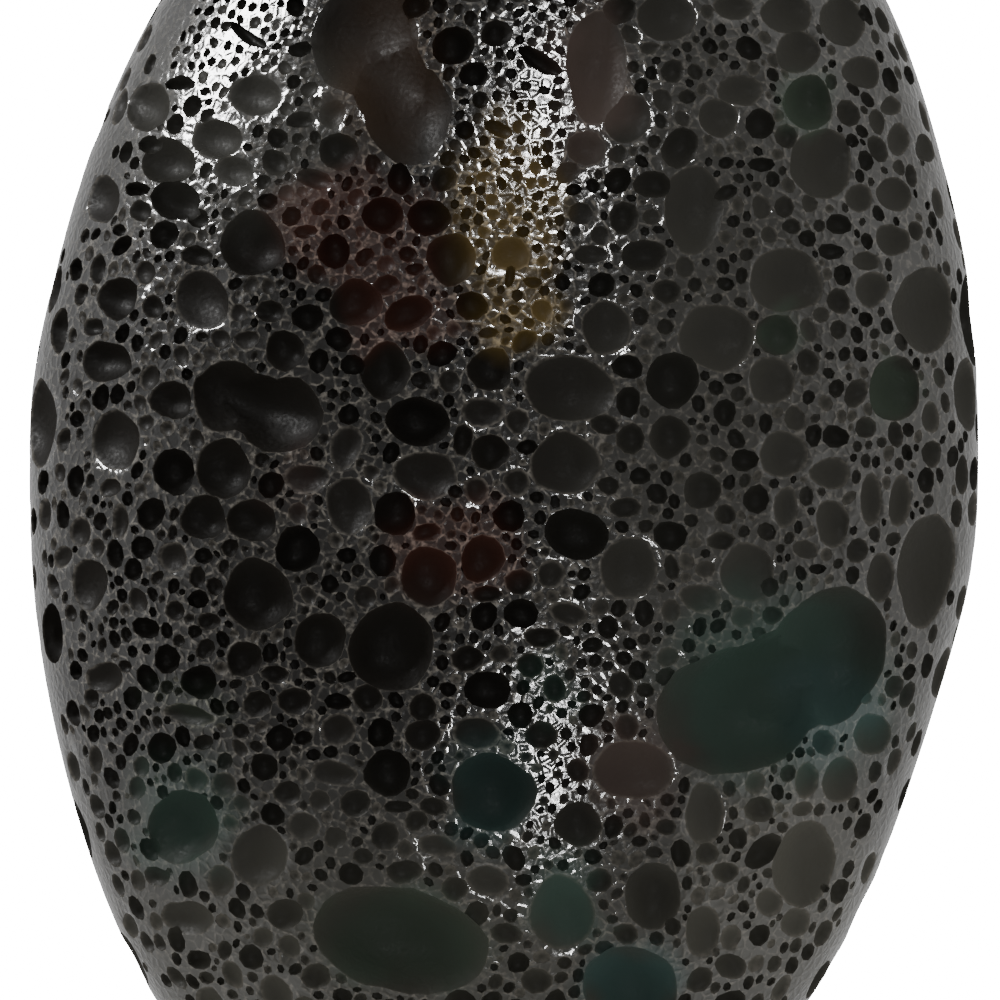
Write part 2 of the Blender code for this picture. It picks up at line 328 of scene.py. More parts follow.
    Pit(9.6, -8.9, 1.2, 1.5, U),
    Pit(4.8, -9.3, 2.6, 1.3, D),
    Pit(13.3, -9.5, 1.1, 1.3, U),
    Pit(1.8, -9.6, 2.1, 1.9, U),
    Pit(17.0, -9.7, 1.2, 0.8, B),
    Pit(-15.2, -9.7, 4.1, 4.2, B),
    Pit(-26.2, -9.9, 2.3, 3.2, D),
    Pit(-19.0, -10.2, 1.2, 1.4, U),
    Pit(8.9, -10.9, 0.9, 0.9, U),
    Pit(3.2, -11.0, 2.2, 1.2, B),
    Pit(-18.2, -11.7, 1.5, 1.2, B),
    Pit(-10.9, -12.2, 3.0, 3.2, B),
    Pit(6.8, -12.3, 0.8, 0.8, U),
    Pit(-22.2, -12.3, 1.7, 1.5, U),
    Pit(0.7, -12.2, 1.4, 1.3, D),
    Pit(-6.3, -12.4, 5.1, 5.2, B),
    Pit(-1.3, -12.6, 2.1, 1.8, B),
    Pit(-18.4, -13.5, 1.2, 1.3, B),
    Pit(24.4, -13.5, 1.2, 1.0, D),
    Pit(-15.8, -13.8, 2.4, 2.2, B),
    Pit(-20.7, -14.1, 1.7, 1.7, U),
    Pit(-9.0, -14.4, 1.3, 0.7, U),
    Pit(4.3, -14.2, 1.7, 1.9, B),
    Pit(-13.6, -14.6, 1.9, 1.2, B),
    Pit(0.0, -14.6, 2.7, 2.1, U),
    Pit(-2.4, -14.8, 1.1, 1.0, U),
    Pit(-18.5, -15.6, 2.2, 2.1, U),
    Pit(-24.8, -15.8, 2.6, 1.9, D),
    Pit(-7.6, -15.8, 1.9, 1.7, B),
    Pit(25.2, -15.8, 2.6, 2.4, D),
    Pit(-20.6, -16.0, 0.9, 1.2, B),
    Pit(-4.1, -16.1, 1.7, 1.9, B),
    Pit(-9.5, -16.2, 1.6, 1.2, U),
    Pit(-12.3, -16.3, 2.1, 1.7, B),
    Pit(-14.7, -16.7, 1.8, 1.5, B),
    Pit(3.6, -17.2, 2.0, 1.5, B),
    Pit(-0.5, -17.5, 3.1, 2.1, D),
    Pit(-9.4, -17.9, 2.1, 1.7, D),
    Pit(-19.0, -17.8, 3.3, 1.2, D, -5),
    Pit(-6.6, -17.9, 1.9, 1.8, U),
    Pit(-3.9, -17.9, 2.2, 1.9, B),
    Pit(-25.0, -18.3, 0.8, 0.9, U),
    Pit(-15.5, -18.4, 1.1, 1.1, B),
    Pit(-13.1, -18.7, 1.8, 1.6, U),
    Pit(23.2, -18.9, 2.4, 2.9, D),
    Pit(20.9, -19.0, 1.4, 2.1, D),
    Pit(9.7, -19.1, 4.7, 3.6, D),
    Pit(6.2, -19.3, 1.6, 1.7, B),
    Pit(-17.9, -19.5, 1.1, 1.0, B),
    Pit(-22.8, -20.0, 1.0, 1.5, U),
    Pit(-20.7, -20.1, 1.8, 2.0, U),
    Pit(-6.0, -20.4, 2.9, 2.7, U),
    Pit(-9.3, -20.7, 2.8, 1.7, D),
    Pit(20.8, -20.8, 1.4, 1.1, D),
    Pit(18.0, -21.1, 1.8, 1.6, B),
    Pit(0.8, -21.2, 5.0, 4.6, B),
    Pit(16.4, -21.3, 0.7, 1.0, B),
    Pit(14.5, -21.5, 2.5, 3.8, D),
    Pit(-12.3, -22.1, 1.7, 1.4, B),
    Pit(-5.2, -22.5, 1.7, 1.0, B),
    Pit(-3.0, -22.4, 1.8, 1.2, B),
    Pit(-7.9, -22.5, 1.9, 1.5, B),
    Pit(12.1, -22.5, 1.3, 1.2, B),
    Pit(-22.2, -22.8, 1.1, 1.7, D),
    Pit(6.4, -22.8, 2.7, 2.6, B),
    Pit(-20.5, -22.8, 0.9, 0.8, U),
    Pit(10.5, -23.6, 1.0, 0.7, U),
    Pit(18.4, -23.8, 2.7, 1.6, U, 45),
    Pit(14.9, -24.1, 1.4, 1.5, B),
    Pit(-11.2, -24.2, 2.0, 1.9, D),
    Pit(13.1, -24.2, 1.5, 1.7, U),
    Pit(-5.9, -24.4, 1.7, 1.6, B),
    Pit(21.4, -24.4, 4.0, 5.2, D),
    Pit(7.6, -24.7, 1.3, 1.0, U),
    Pit(-2.4, -24.8, 2.4, 1.3, D),
    Pit(-19.0, -25.0, 4.3, 4.4, B),
    Pit(19.1, -25.1, 0.9, 0.8, B),
    Pit(-13.9, -26.4, 3.6, 3.6, D),
    Pit(-4.5, -26.7, 2.4, 1.5, B),
    Pit(19.1, -26.9, 1.7, 1.6, D),
    Pit(0.8, -26.9, 2.6, 1.8, D),
    Pit(3.1, -26.5, 1.2, 0.8, U),
    Pit(11.6, -27.1, 3.3, 3.9, B),
    Pit(-16.2, -28.2, 1.8, 2.0, D),
    Pit(20.9, -28.2, 1.8, 2.0, D),
    Pit(-20.4, -28.3, 1.6, 1.2, B),
    Pit(5.8, -28.5, 3.8, 4.4, D),
    Pit(14.9, -29.0, 2.2, 3.4, D),
    Pit(0.2, -29.0, 1.6, 1.6, U),
    Pit(-12.0, -30.0, 2.1, 1.8, B),
    Pit(2.3, -30.1, 2.0, 1.4, B),
    Pit(-18.3, -30.8, 3.5, 2.1, D),
    Pit(16.8, -31.2, 2.0, 1.6, B),
)

PIT_SPREAD = 1.12  # the listed pits were read at their dark insides, without their lips
STEEPEST_STRETCH = 2.6  # a pit isn't stretched down the slope by more than this


def unit(vectors: np.ndarray) -> np.ndarray:
    """Rows of an array, each scaled to length one."""
    return vectors / np.linalg.norm(vectors, axis=-1, keepdims=True)


def ground_surface(directions: np.ndarray) -> tuple[np.ndarray, np.ndarray]:
    """The ground stone before its pits.

    Args:
        directions: unit rows, in shares of the stone's half axes.

    Returns:
        the surface points in those directions, and their outward normals.
    """
    points = directions * HALF
    normals = unit(directions / HALF)
    rise = np.zeros(len(points))
    for swell in SWELLS:
        place = np.array([swell.x, swell.y, swell.z]) * MM
        away = np.linalg.norm(points - place, axis=1) / (swell.reach * MM)
        rise += swell.rise * MM * np.exp(-away * away / 2)
    return CENTRE + points + normals * rise[:, None], normals


@dataclass
class Bubble:
    """A gas bubble that the ground surface cut open.

    Attributes:
        point: where the middle of its opening lies on the surface.
        normal: the surface's outward normal there.
        across: half axis of the opening.
        along: the other half axis of the opening.
        form: how the surface cut it.
    """

    point: np.ndarray
    normal: np.ndarray
    across: np.ndarray
    along: np.ndarray
    form: Form

    @property
    def half_width(self) -> float:
        """Mean half width of the opening."""
        return math.sqrt(np.linalg.norm(self.across) * np.linalg.norm(self.along))

    def frame(self) -> Matrix:
        """The bubble's shape and place.

        Returns:
            the matrix that turns a unit sphere into it.
        """
        depth, rise = self.form.value
        middle = rise * self.half_width
        swell = middle + depth * self.half_width
        opening = math.sqrt(1 - (middle / swell) ** 2)
        columns = (self.across / opening, self.along / opening, self.normal * swell)
        turned = Matrix([Vector(column) for column in columns]).transposed().to_4x4()
        return Matrix.Translation(Vector(self.point + self.normal * middle)) @ turned


def upper_bubble(pit: Pit) -> Bubble:
    """The bubble of a pit of the upper face, stretched down the slope so that it looks right from above.

    Args:
        pit: the pit as seen from above.

    Returns:
        its bubble on the ground surface.
    """
    flat = np.array([pit.x * MM / HALF[0], pit.y * MM / HALF[1]])
    direction = np.array([[*flat, math.sqrt(1 - flat @ flat)]])
    points, normals = ground_surface(direction)
    normal = normals[0]
    turn = math.radians(pit.turn)
    axes = []
    spread = PIT_SPREAD * MM / 2
    for half, angle in ((pit.width * spread, turn), (pit.length * spread, turn + math.pi / 2)):
        axis = np.array([math.cos(angle), math.sin(angle), 0.0])
        axis[2] = -(axis @ normal) / normal[2]
        stretch = min(np.linalg.norm(axis), STEEPEST_STRETCH)
        axes.append(unit(axis) * stretch * half)
    return Bubble(points[0], normal, axes[0], axes[1], pit.form)


# Zones of fine foam on the upper face: their middle, width and length, in mm
FINE_ZONES = (
    (-20.2, 26.2, 9.0, 8.0),
    (0.3, 24.5, 6.0, 13.0),
    (-0.5, 15.0, 8.0, 12.0),
    (4.5, -20.0, 4.0, 14.0),
)


class Gaps:
    """Places on the stone, with the half width of the pit that still fits at each."""

    def __init__(self, points: np.ndarray, normals: np.ndarray, sizes: np.ndarray, merge: float) -> None:
        """Starts with no pits.

        Args:
            points: the places, in order of Y.
            normals: the surface's outward normals there.
            sizes: the widest pit wanted at each place.
            merge: share of a pit's half width by which it may run into its neighbour.
        """
        self.points = points
        self.normals = normals
        self.sizes = sizes
        self.merge = merge

    def take(self, bubble: Bubble) -> None:
        """Takes away the room of a bubble's opening.

        Args:
            bubble: whose opening the places lose.
        """
        reach = max(np.linalg.norm(bubble.across), np.linalg.norm(bubble.along)) + self.sizes.max()
        first, last = np.searchsorted(self.points[:, 1], (bubble.point[1] - reach, bubble.point[1] + reach))
        away = self.points[first:last] - bubble.point
        across = away @ bubble.across / (bubble.across @ bubble.across)
        along = away @ bubble.along / (bubble.along @ bubble.along)
        above = away @ bubble.normal / bubble.half_width
        scaled = np.maximum(np.sqrt(across**2 + along**2 + above**2), 1e-6)
        free = np.linalg.norm(away, axis=1) * (1 - 1 / scaled)
        self.sizes[first:last] = np.minimum(self.sizes[first:last], free * (1 + self.merge))


@dataclass
class Foam:
    """All the bubbles of the stone: those placed by eye, and those that fill the rest by seeded chance.

    Half widths and lengths are in mm.

    Attributes:
        seed: of the chance that places the filling.
        places: number of places tried.
        commonest: half width that most of the filling has.
        rarity: how fast wider pits become rare.
        widest: half width of the widest pit of the filling.
        merge: share of a pit's half width by which it may run into its neighbour.
        seen_y: the stretch of Y in which the wider pits are all listed one by one.
        seen_rise: and where the surface faces up by more than this.
        seen_widest: half width of the widest filling there.
        fine_widest: half width of the widest filling in the zones of fine foam.
        coarse: half width of the narrowest filling where the surface doesn't face up.
        coarse_rise: from the first rise to the second, narrower and narrower pits are let in.
        rest_clearance: no pit's middle is nearer to the origin, where the stone rests.
    """

    seed: int = 41
    places: int = 190_000
    commonest: float = 0.3
    rarity: float = 4.0
    widest: float = 3.2
    merge: float = 0.14
    seen_y: tuple[float, float] = (-33.5, 30.5)
    seen_rise: float = 0.42
    seen_widest: float = 0.98
    fine_widest: float = 0.45
    coarse: float = 0.9
    coarse_rise: tuple[float, float] = (0.3, 0.7)
    rest_clearance: float = 4.0
    bubbles: list[Bubble] = field(default_factory=list)

    def place_upper(self) -> None:
        """Adds the listed pits of the upper face."""
        self.bubbles.extend(upper_bubble(pit) for pit in UPPER_PITS)
        log.info("%d pits placed by eye", len(self.bubbles))

    def fill(self, narrowest: float) -> None:
        """Fills what is left with smaller and smaller bubbles.

        Args:
            narrowest: half width at which the filling ends, in mm.
        """
        chance = np.random.default_rng(self.seed)
        gaps = self._gaps(chance)
        for bubble in self.bubbles:
            gaps.take(bubble)
        placed = len(self.bubbles)
        while True:
            index = int(np.argmax(gaps.sizes))
            half = gaps.sizes[index]
            if half < narrowest * MM:
                break
            bubble = round_bubble(gaps.points[index], gaps.normals[index], half, chance.random(3))
            gaps.take(bubble)
            self.bubbles.append(bubble)
        log.info("%d pits of the filling", len(self.bubbles) - placed)

    def _gaps(self, chance: np.random.Generator) -> Gaps:
        """Places spread evenly over the stone's surface, each with a half width by chance.

        Args:
            chance: the seeded source of numbers.

        Returns:
            the places that may get a pit.
        """
        directions = unit(chance.normal(size=(self.places, 3)))
        even = chance.random(self.places) < HALF[2] * np.linalg.norm(directions / HALF, axis=1)
        points, normals = ground_surface(directions[even])
        normals[points[:, 2] < 0] = (0.0, 0.0, -1.0)
        points[:, 2] = np.maximum(points[:, 2], 0.0)
        order = np.argsort(points[:, 1])
        points, normals = points[order], normals[order]
        sizes = np.minimum(self.commonest * chance.random(len(points)) ** (-1 / self.rarity), self.widest)
        low, high = self.seen_y
        along = points[:, 1] / MM
        seen = (normals[:, 2] > self.seen_rise) & (low < along) & (along < high)
        sizes[seen] = np.minimum(sizes[seen], self.seen_widest)
        for x, y, width, length in FINE_ZONES:
            shares = (points[:, :2] / MM - (x, y)) / (width / 2, length / 2)
            inside = (np.linalg.norm(shares, axis=1) < 1) & seen
            sizes[inside] = np.minimum(sizes[inside], self.fine_widest)
        coarse = sizes < np.interp(normals[:, 2], self.coarse_rise, (self.coarse, self.commonest))
        rest = np.linalg.norm(points, axis=1) < self.rest_clearance * MM
        keep = ~(coarse | rest)
        return Gaps(points[keep], normals[keep], sizes[keep] * MM, self.merge)


def round_bubble(point: np.ndarray, normal: np.ndarray, half: float, draw: np.ndarray) -> Bubble:
    """A nearly round bubble.

    Args:
        point: where the middle of its opening lies.
        normal: of the surface there.
        half: half width of the opening.
        draw: three numbers by chance, for its turn, its stretch and its form.

    Returns:
        the bubble.
    """
    slanting = (0.3, 0.9, 0.2)
    most_stretch = 0.2
    fewest_dishes = 0.15
    more_dishes = 0.35
    dishes_from = 2.0 * MM
    bowls = 0.3
    side = unit(np.cross(normal, slanting))
    angle = draw[0] * math.pi
    across = side * math.cos(angle) + np.cross(normal, side) * math.sin(angle)
    along = np.cross(normal, across)
    stretch = 1 + most_stretch * draw[1]
    dishes = fewest_dishes + more_dishes * min(1.0, half / dishes_from)
    form = Form.DISH if draw[2] < dishes else Form.BOWL if draw[2] < dishes + bowls else Form.BUBBLE
    return Bubble(point, normal, across * half, along * half / stretch, form)


# Sides and rings of a bubble's sphere, up to a half width in mm
CUTTER_DETAILS = (
    (0.45, (6, 3)),
    (0.8, (8, 4)),
    (1.2, (9, 5)),
    (1.8, (12, 7)),
    (3.0, (18, 10)),
    (99.0, (26, 15)),
)


@dataclass
class Stone:
    """The fine mesh of the stone, which stands for the CAD solid.

    Attributes:
        foam: the bubbles to cut.
        body_subdivisions: of the ground body.
        sharpest: two faces that meet at a larger angle keep a crisp edge.
        warps: wavelength and size of each bend that takes the pits out of round.
        warp_above: the bends reach their full size at this height over the floor.
    """

    foam: Foam
    body_subdivisions: int = 6
    sharpest: float = math.radians(50)
    warps: tuple[tuple[float, float], ...] = ((2.4 * MM, 0.32 * MM), (0.9 * MM, 0.11 * MM))
    warp_above: float = 2.0 * MM

    def make_body(self, materials: Sequence[bpy.types.Material]) -> bpy.types.Object:
        """The ground stone before its pits.

        Args:
            materials: of the ground skin, and of the pits.

        Returns:
            the object.
        """
        body = bmesh.new()
        bmesh.ops.create_icosphere(body, subdivisions=self.body_subdivisions, radius=1.0)
        directions = unit(np.array([vert.co for vert in body.verts]))
        points = ground_surface(directions)[0]
        points[:, 2] = np.maximum(points[:, 2], 0.0)
        for vert, point in zip(body.verts, points):
            vert.co = point
        mesh = bpy.data.meshes.new("lava_stone")
        body.to_mesh(mesh)
        body.free()
        for material in materials:
            mesh.materials.append(material)
        piece = bpy.data.objects.new("lava_stone", mesh)
        bpy.context.scene.collection.objects.link(piece)
        return piece

    def make_cutters(self, materials: Sequence[bpy.types.Material]) -> Iterator[bpy.types.Object]:
        """Objects that each hold bubbles that don't meet, so that one Boolean cuts them all.

        Args:
            materials: of the ground skin, and of the pits.

        Yields:
            the objects.
        """
        batches = keep_apart([bubble.frame() for bubble in self.foam.bubbles])
        log.info("%d batches of bubbles", len(batches))
        spheres = {detail: unit_sphere(*detail) for _, detail in CUTTER_DETAILS}
        for number, frames in enumerate(batches):
            shape = bmesh.new()
            for frame_matrix in frames:
                sphere = spheres[cutter_detail(frame_matrix)].copy()
                sphere.transform(frame_matrix)
                shape.from_mesh(sphere)
                bpy.data.meshes.remove(sphere)
            mesh = bpy.data.meshes.new(f"bubbles_{number}")
            shape.to_mesh(mesh)
            shape.free()
            for material in materials:
                mesh.materials.append(material)
            cutter = bpy.data.objects.new(f"bubbles_{number}", mesh)
            bpy.context.scene.collection.objects.link(cutter)
            yield cutter

    def build(self, materials: Sequence[bpy.types.Material]) -> bpy.types.Object:
        """Cuts every bubble out of the ground body.

        Args:
            materials: of the ground skin, and of the pits.

        Returns:
            the finished piece.
        """
        piece = self.make_body(materials)
        cutters = list(self.make_cutters(materials))
        for cutter in cutters:
            cut = piece.modifiers.new(cutter.name, "BOOLEAN")
            cut.operation = "DIFFERENCE"
            cut.solver = "MANIFOLD"
            cut.object = cutter
        graph = bpy.context.evaluated_depsgraph_get()
        graph.update()
        mesh = bpy.data.meshes.new_from_object(piece.evaluated_get(graph))
        piece.modifiers.clear()
        piece.data = mesh
        for cutter in cutters:
            bpy.data.objects.remove(cutter)
        self.drop_crumbs(mesh)
        self.mark_surface(mesh)
        self.warp(mesh)
        mesh.shade_smooth()
        mesh.set_sharp_from_angle(angle=self.sharpest)
        log.info("stone: %d triangles", sum(len(face.vertices) - 2 for face in mesh.polygons))
        return piece

    @staticmethod
    def drop_crumbs(mesh: bpy.types.Mesh) -> None:
        """Keeps the one connected body, without crumbs that the bubbles cut free all round.

        Args:
            mesh: of the cut stone.
        """
        shape = bmesh.new()
        shape.from_mesh(mesh)
        shape.verts.ensure_lookup_table()
        part_of = [-1] * len(shape.verts)
        sizes = []
        for vert in shape.verts:
            if part_of[vert.index] >= 0:
                continue
            number = len(sizes)
            part_of[vert.index] = number
            waiting = [vert]
            size = 0
            while waiting:
                present = waiting.pop()
                size += 1
                for edge in present.link_edges:
                    other = edge.other_vert(present)
                    if part_of[other.index] < 0:
                        part_of[other.index] = number
                        waiting.append(other)
            sizes.append(size)
        main = sizes.index(max(sizes))
        crumbs = [vert for vert in shape.verts if part_of[vert.index] != main]
        if crumbs:
            bmesh.ops.delete(shape, geom=crumbs, context="VERTS")
        bmesh.ops.triangulate(shape, faces=[face for face in shape.faces if len(face.verts) > 4])
        shape.to_mesh(mesh)
        shape.free()
        log.info("%d crumbs dropped", len(sizes) - 1)

    def warp(self, mesh: bpy.types.Mesh) -> None:
        """Bends the pits a little out of round, along the surface, but not at the flat underneath.

        Args:
            mesh: of the cut stone.
        """
        for vert in mesh.vertices:
            place = vert.co
            normal = Vector((place[i] - CENTRE[i]) / HALF[i] ** 2 for i in range(3)).normalized()
            shift = Vector((0.0, 0.0, 0.0))
            for reach, share in self.warps:
                shift += noise.noise_vector(place / reach) * share
            shift -= normal * shift.dot(normal)
            vert.co = place + shift * min(1.0, place.z / self.warp_above)

    @staticmethod
    def mark_surface(mesh: bpy.types.Mesh) -> None:
        """Writes three attributes: rim is 1 at a pit's rim, depth is how deep a point lies in mm, and tint.

        Args:
            mesh: of the cut stone.
        """
        count = len(mesh.vertices)
        places = np.empty(count * 3)
        mesh.vertices.foreach_get("co", places)
        places = places.reshape(-1, 3)
        corners = np.empty(len(mesh.loops), dtype=np.int64)
        mesh.loops.foreach_get("vertex_index", corners)
        slots = np.empty(len(mesh.polygons), dtype=np.int64)
        mesh.polygons.foreach_get("material_index", slots)
        totals = np.empty(len(mesh.polygons), dtype=np.int64)
        mesh.polygons.foreach_get("loop_total", totals)
        corner_slots = np.repeat(slots, totals)
        on_skin = np.zeros(count, dtype=bool)
        in_pit = np.zeros(count, dtype=bool)
        on_skin[corners[corner_slots == 0]] = True
        in_pit[corners[corner_slots == 1]] = True
        rims = (on_skin & in_pit).astype(float)
        scaled = (places - CENTRE) / HALF
        surface = ground_surface(unit(scaled))[0]
        depth = np.linalg.norm(surface - CENTRE, axis=1) - np.linalg.norm(places - CENTRE, axis=1)
        for name, values in (("rim", rims), ("depth", np.maximum(depth, 0) / MM)):
            layer = mesh.attributes.new(name, "FLOAT", "POINT")
            layer.data.foreach_set("value", values.astype(np.float32))
        tints = mesh.attributes.new("tint", "FLOAT_COLOR", "POINT")
        tints.data.foreach_set("color", tints_at(places).astype(np.float32).ravel())


def unit_sphere(sides: int, rings: int) -> bpy.types.Mesh:
    """A sphere of radius one, in the pits' material.

    Args:
        sides: round the sphere.
        rings: from pole to pole.

    Returns:
        its mesh.
    """
    shape = bmesh.new()
    bmesh.ops.create_uvsphere(shape, u_segments=sides, v_segments=rings, radius=1.0)
    for face in shape.faces:
        face.material_index = 1
    mesh = bpy.data.meshes.new(f"sphere_{sides}_{rings}")
    shape.to_mesh(mesh)
    shape.free()
    return mesh


def cutter_detail(frame_matrix: Matrix) -> tuple[int, int]:
    """Sides and rings of the sphere that cuts a bubble.

    Args:
        frame_matrix: the bubble's matrix.

    Returns:
        the two numbers.
    """
    columns = frame_matrix.to_3x3().col
    half_width = math.sqrt(columns[0].length * columns[1].length) / MM
    return next(detail for limit, detail in CUTTER_DETAILS if half_width < limit)


CLEARANCE = 0.005 * MM  # between the bubbles of a batch


def keep_apart(frames: Sequence[Matrix]) -> list[list[Matrix]]:
    """Bubbles sorted into batches, so that no two in one batch meet.

    Args:
        frames: the bubbles' matrices.

    Returns:
        the batches.
    """
    centres = np.array([frame_matrix.translation for frame_matrix in frames])
    reaches = np.array([max(column.length for column in each.to_3x3().col) for each in frames])
    batch_of = np.full(len(frames), -1)
    for index in range(len(frames)):
        away = np.linalg.norm(centres[:index] - centres[index], axis=1)
        meets = away < reaches[:index] + reaches[index] + CLEARANCE
        taken = set(batch_of[:index][meets])
        batch_of[index] = next(number for number in range(len(frames)) if number not in taken)
    return [[frames[i] for i in np.flatnonzero(batch_of == number)] for number in range(batch_of.max() + 1)]


class Nodes:
    """A node tree with short calls for the nodes that the materials use."""

    def __init__(self, tree: bpy.types.NodeTree) -> None:
        """Wraps a tree."""
        self.tree = tree

    def add(self, kind: str, **settings: object) -> bpy.types.Node:
        """A new node.

        Args:
            kind: its type's name.
            **settings: its own properties.

        Returns:
            the node.
        """
        node = self.tree.nodes.new(kind)
        for name, value in settings.items():
            setattr(node, name, value)
        return node

    def put(self, socket: bpy.types.NodeSocket, value: object) -> None:
        """Links an output into an input, or sets the input's value.

        Args:
            socket: the input.
            value: the output, or a plain value.
        """
        if isinstance(value, bpy.types.NodeSocket):
            self.tree.links.new(value, socket)
        else:
            socket.default_value = value

    def math(self, operation: str, *values: object) -> bpy.types.NodeSocket:
        """A math operation.

        Args:
            operation: its name.
            *values: the outputs or numbers that it takes.

        Returns:
            the result.
        """
        node = self.add("ShaderNodeMath", operation=operation)
        for socket, value in zip(node.inputs, values):
            self.put(socket, value)
        return node.outputs[0]

    def scaled(self, vector: bpy.types.NodeSocket, scale: float) -> bpy.types.NodeSocket:
        """A vector times a number.

        Args:
            vector: an output.
            scale: the number.

        Returns:
            the longer or shorter vector.
        """
        node = self.add("ShaderNodeVectorMath", operation="SCALE")
        self.put(node.inputs[0], vector)
        node.inputs["Scale"].default_value = scale
        return node.outputs["Vector"]

    def mix(self, factor: object, first: object, second: object, blend: str = "MIX") -> bpy.types.NodeSocket:
        """Two colours mixed.

        Args:
            factor: 0 for the first colour, 1 for the second.
            first: a colour.
            second: a colour.
            blend: how the second is laid over the first.

        Returns:
            the mixed colour.
        """
        node = self.add("ShaderNodeMix", data_type="RGBA", blend_type=blend)
        self.put(node.inputs["Factor"], factor)
        self.put(node.inputs[6], first)
        self.put(node.inputs[7], second)
        return node.outputs[2]

    def tinted(self, colour: object, tint: bpy.types.NodeSocket, share: float) -> bpy.types.NodeSocket:
        """A colour multiplied by a share of a tint."""
        return self.mix(share, colour, tint, "MULTIPLY")

    def remap(self, value: bpy.types.NodeSocket, low: float, high: float, to_low: float = 0.0,
              to_high: float = 1.0) -> bpy.types.NodeSocket:
        """A value moved from one range to another, with soft ends.

        Args:
            value: an output.
            low: where the first range starts.
            high: where it ends.
            to_low: where the second range starts.
            to_high: where it ends.

        Returns:
            the moved value.
        """
        node = self.add("ShaderNodeMapRange", interpolation_type="SMOOTHSTEP")
        for socket, number in zip(node.inputs, (value, low, high, to_low, to_high)):
            self.put(socket, number)
        return node.outputs[0]

    def noise(self, vector: bpy.types.NodeSocket, scale: float, detail: float) -> bpy.types.NodeSocket:
        """Soft noise.

        Args:
            vector: the place.
            scale: how often it changes over a unit of place.
            detail: how many finer layers it has.

        Returns:
            a number between 0 and 1.
        """
        node = self.add("ShaderNodeTexNoise")
        self.put(node.inputs["Vector"], vector)
        node.inputs["Scale"].default_value = scale
        node.inputs["Detail"].default_value = detail
        return node.outputs["Fac"]

    def cells(self, vector: bpy.types.NodeSocket, scale: float) -> bpy.types.NodeSocket:
        """Cells that fill space.

        Args:
            vector: the place.
            scale: cells along a unit of place.

        Returns:
            the distance to the nearest wall between cells, in shares of a cell.
        """
        node = self.add("ShaderNodeTexVoronoi", feature="DISTANCE_TO_EDGE")
        self.put(node.inputs["Vector"], vector)
        node.inputs["Scale"].default_value = scale
        return node.outputs["Distance"]

    def attribute(self, name: str) -> bpy.types.NodeSocket:
        """A number stored on the mesh."""
        return self.add("ShaderNodeAttribute", attribute_name=name).outputs["Fac"]


def new_group(name: str, inputs: dict[str, str], outputs: dict[str, str]) -> tuple[Nodes, object, object]:
    """An empty shader node group.

    Args:
        name: of the group.
        inputs: socket kinds by name.
        outputs: socket kinds by name.

    Returns:
        its nodes, its inputs' sockets and its outputs' sockets.
    """
    tree = bpy.data.node_groups.new(name, "ShaderNodeTree")
    for in_out, sockets in (("INPUT", inputs), ("OUTPUT", outputs)):
        for socket_name, kind in sockets.items():
            tree.interface.new_socket(socket_name, in_out=in_out, socket_type=f"NodeSocket{kind}")
    nodes = Nodes(tree)
    entry = nodes.add("NodeGroupInput")
    leave = nodes.add("NodeGroupOutput")
    return nodes, entry.outputs, leave.inputs


@dataclass(frozen=True)
class Tint:
    """A soft zone of colour in the glass, in mm; its colour is linear and multiplies the glass's own. The
    olive zones also carry a painted sheen.
    """

    x: float
    y: float
    width: float
    length: float
    colour: tuple[float, float, float]


TEAL = (1.0, 1.62, 1.52)
DEEP_TEAL = (1.0, 1.75, 1.85)
GREEN = (1.25, 1.65, 1.45)
RUST = (2.4, 1.15, 1.0)
# Olive brown of the glass, made far brighter by a painted sheen: the haze round the upper strip's gleam
OLIVE_AND_SHEEN = (5.4, 4.1, 1.7)
MAUVE = (1.5, 1.18, 1.18)
ROSE = (2.9, 2.35, 2.35)
BROWN = (1.7, 1.25, 1.0)
PALE = (1.6, 1.6, 1.55)
HAZE = (1.3, 1.3, 1.25)

TINTS = (
    Tint(-2, -35, 50, 22, HAZE),
    Tint(20, -26, 16, 18, PALE),
    Tint(19, -13, 16, 14, TEAL),
    Tint(22, -14, 7, 8, DEEP_TEAL),
    Tint(0.8, -20.5, 7, 9, DEEP_TEAL),
    Tint(4, -14, 4, 5, TEAL),
    Tint(-19, -24, 8, 9, TEAL),
    Tint(-19, -17, 7, 3, GREEN),
    Tint(-4, -31, 12, 7, GREEN),
    Tint(10.6, -33, 7, 7, DEEP_TEAL),
    Tint(6, -28, 6, 7, TEAL),
    Tint(17.8, 24.7, 4, 4, GREEN),
    Tint(24.8, 6.6, 4, 5, GREEN),
    Tint(16.9, 9.4, 3.5, 3.5, GREEN),
    Tint(-10, 14, 13, 9, RUST),
    Tint(-7, 9, 9, 6, RUST),
    Tint(-3, -6, 10, 8, RUST),
    Tint(-13, -2, 5, 5, MAUVE),
    # Olive brown with a painted sheen, round the upper strip's gleam
    Tint(-1, 16, 8, 14, OLIVE_AND_SHEEN),
    Tint(0, 9, 7, 5, OLIVE_AND_SHEEN),
    Tint(-9, 25, 9, 13, BROWN),
    Tint(3.4, 24.5, 6, 13, ROSE),
    Tint(9.5, -19, 8, 8, MAUVE),
)


def object_mm(nodes: Nodes) -> bpy.types.NodeSocket:
    """Object coordinates in mm."""
    return nodes.scaled(nodes.add("ShaderNodeTexCoord").outputs["Object"], 1 / MM)


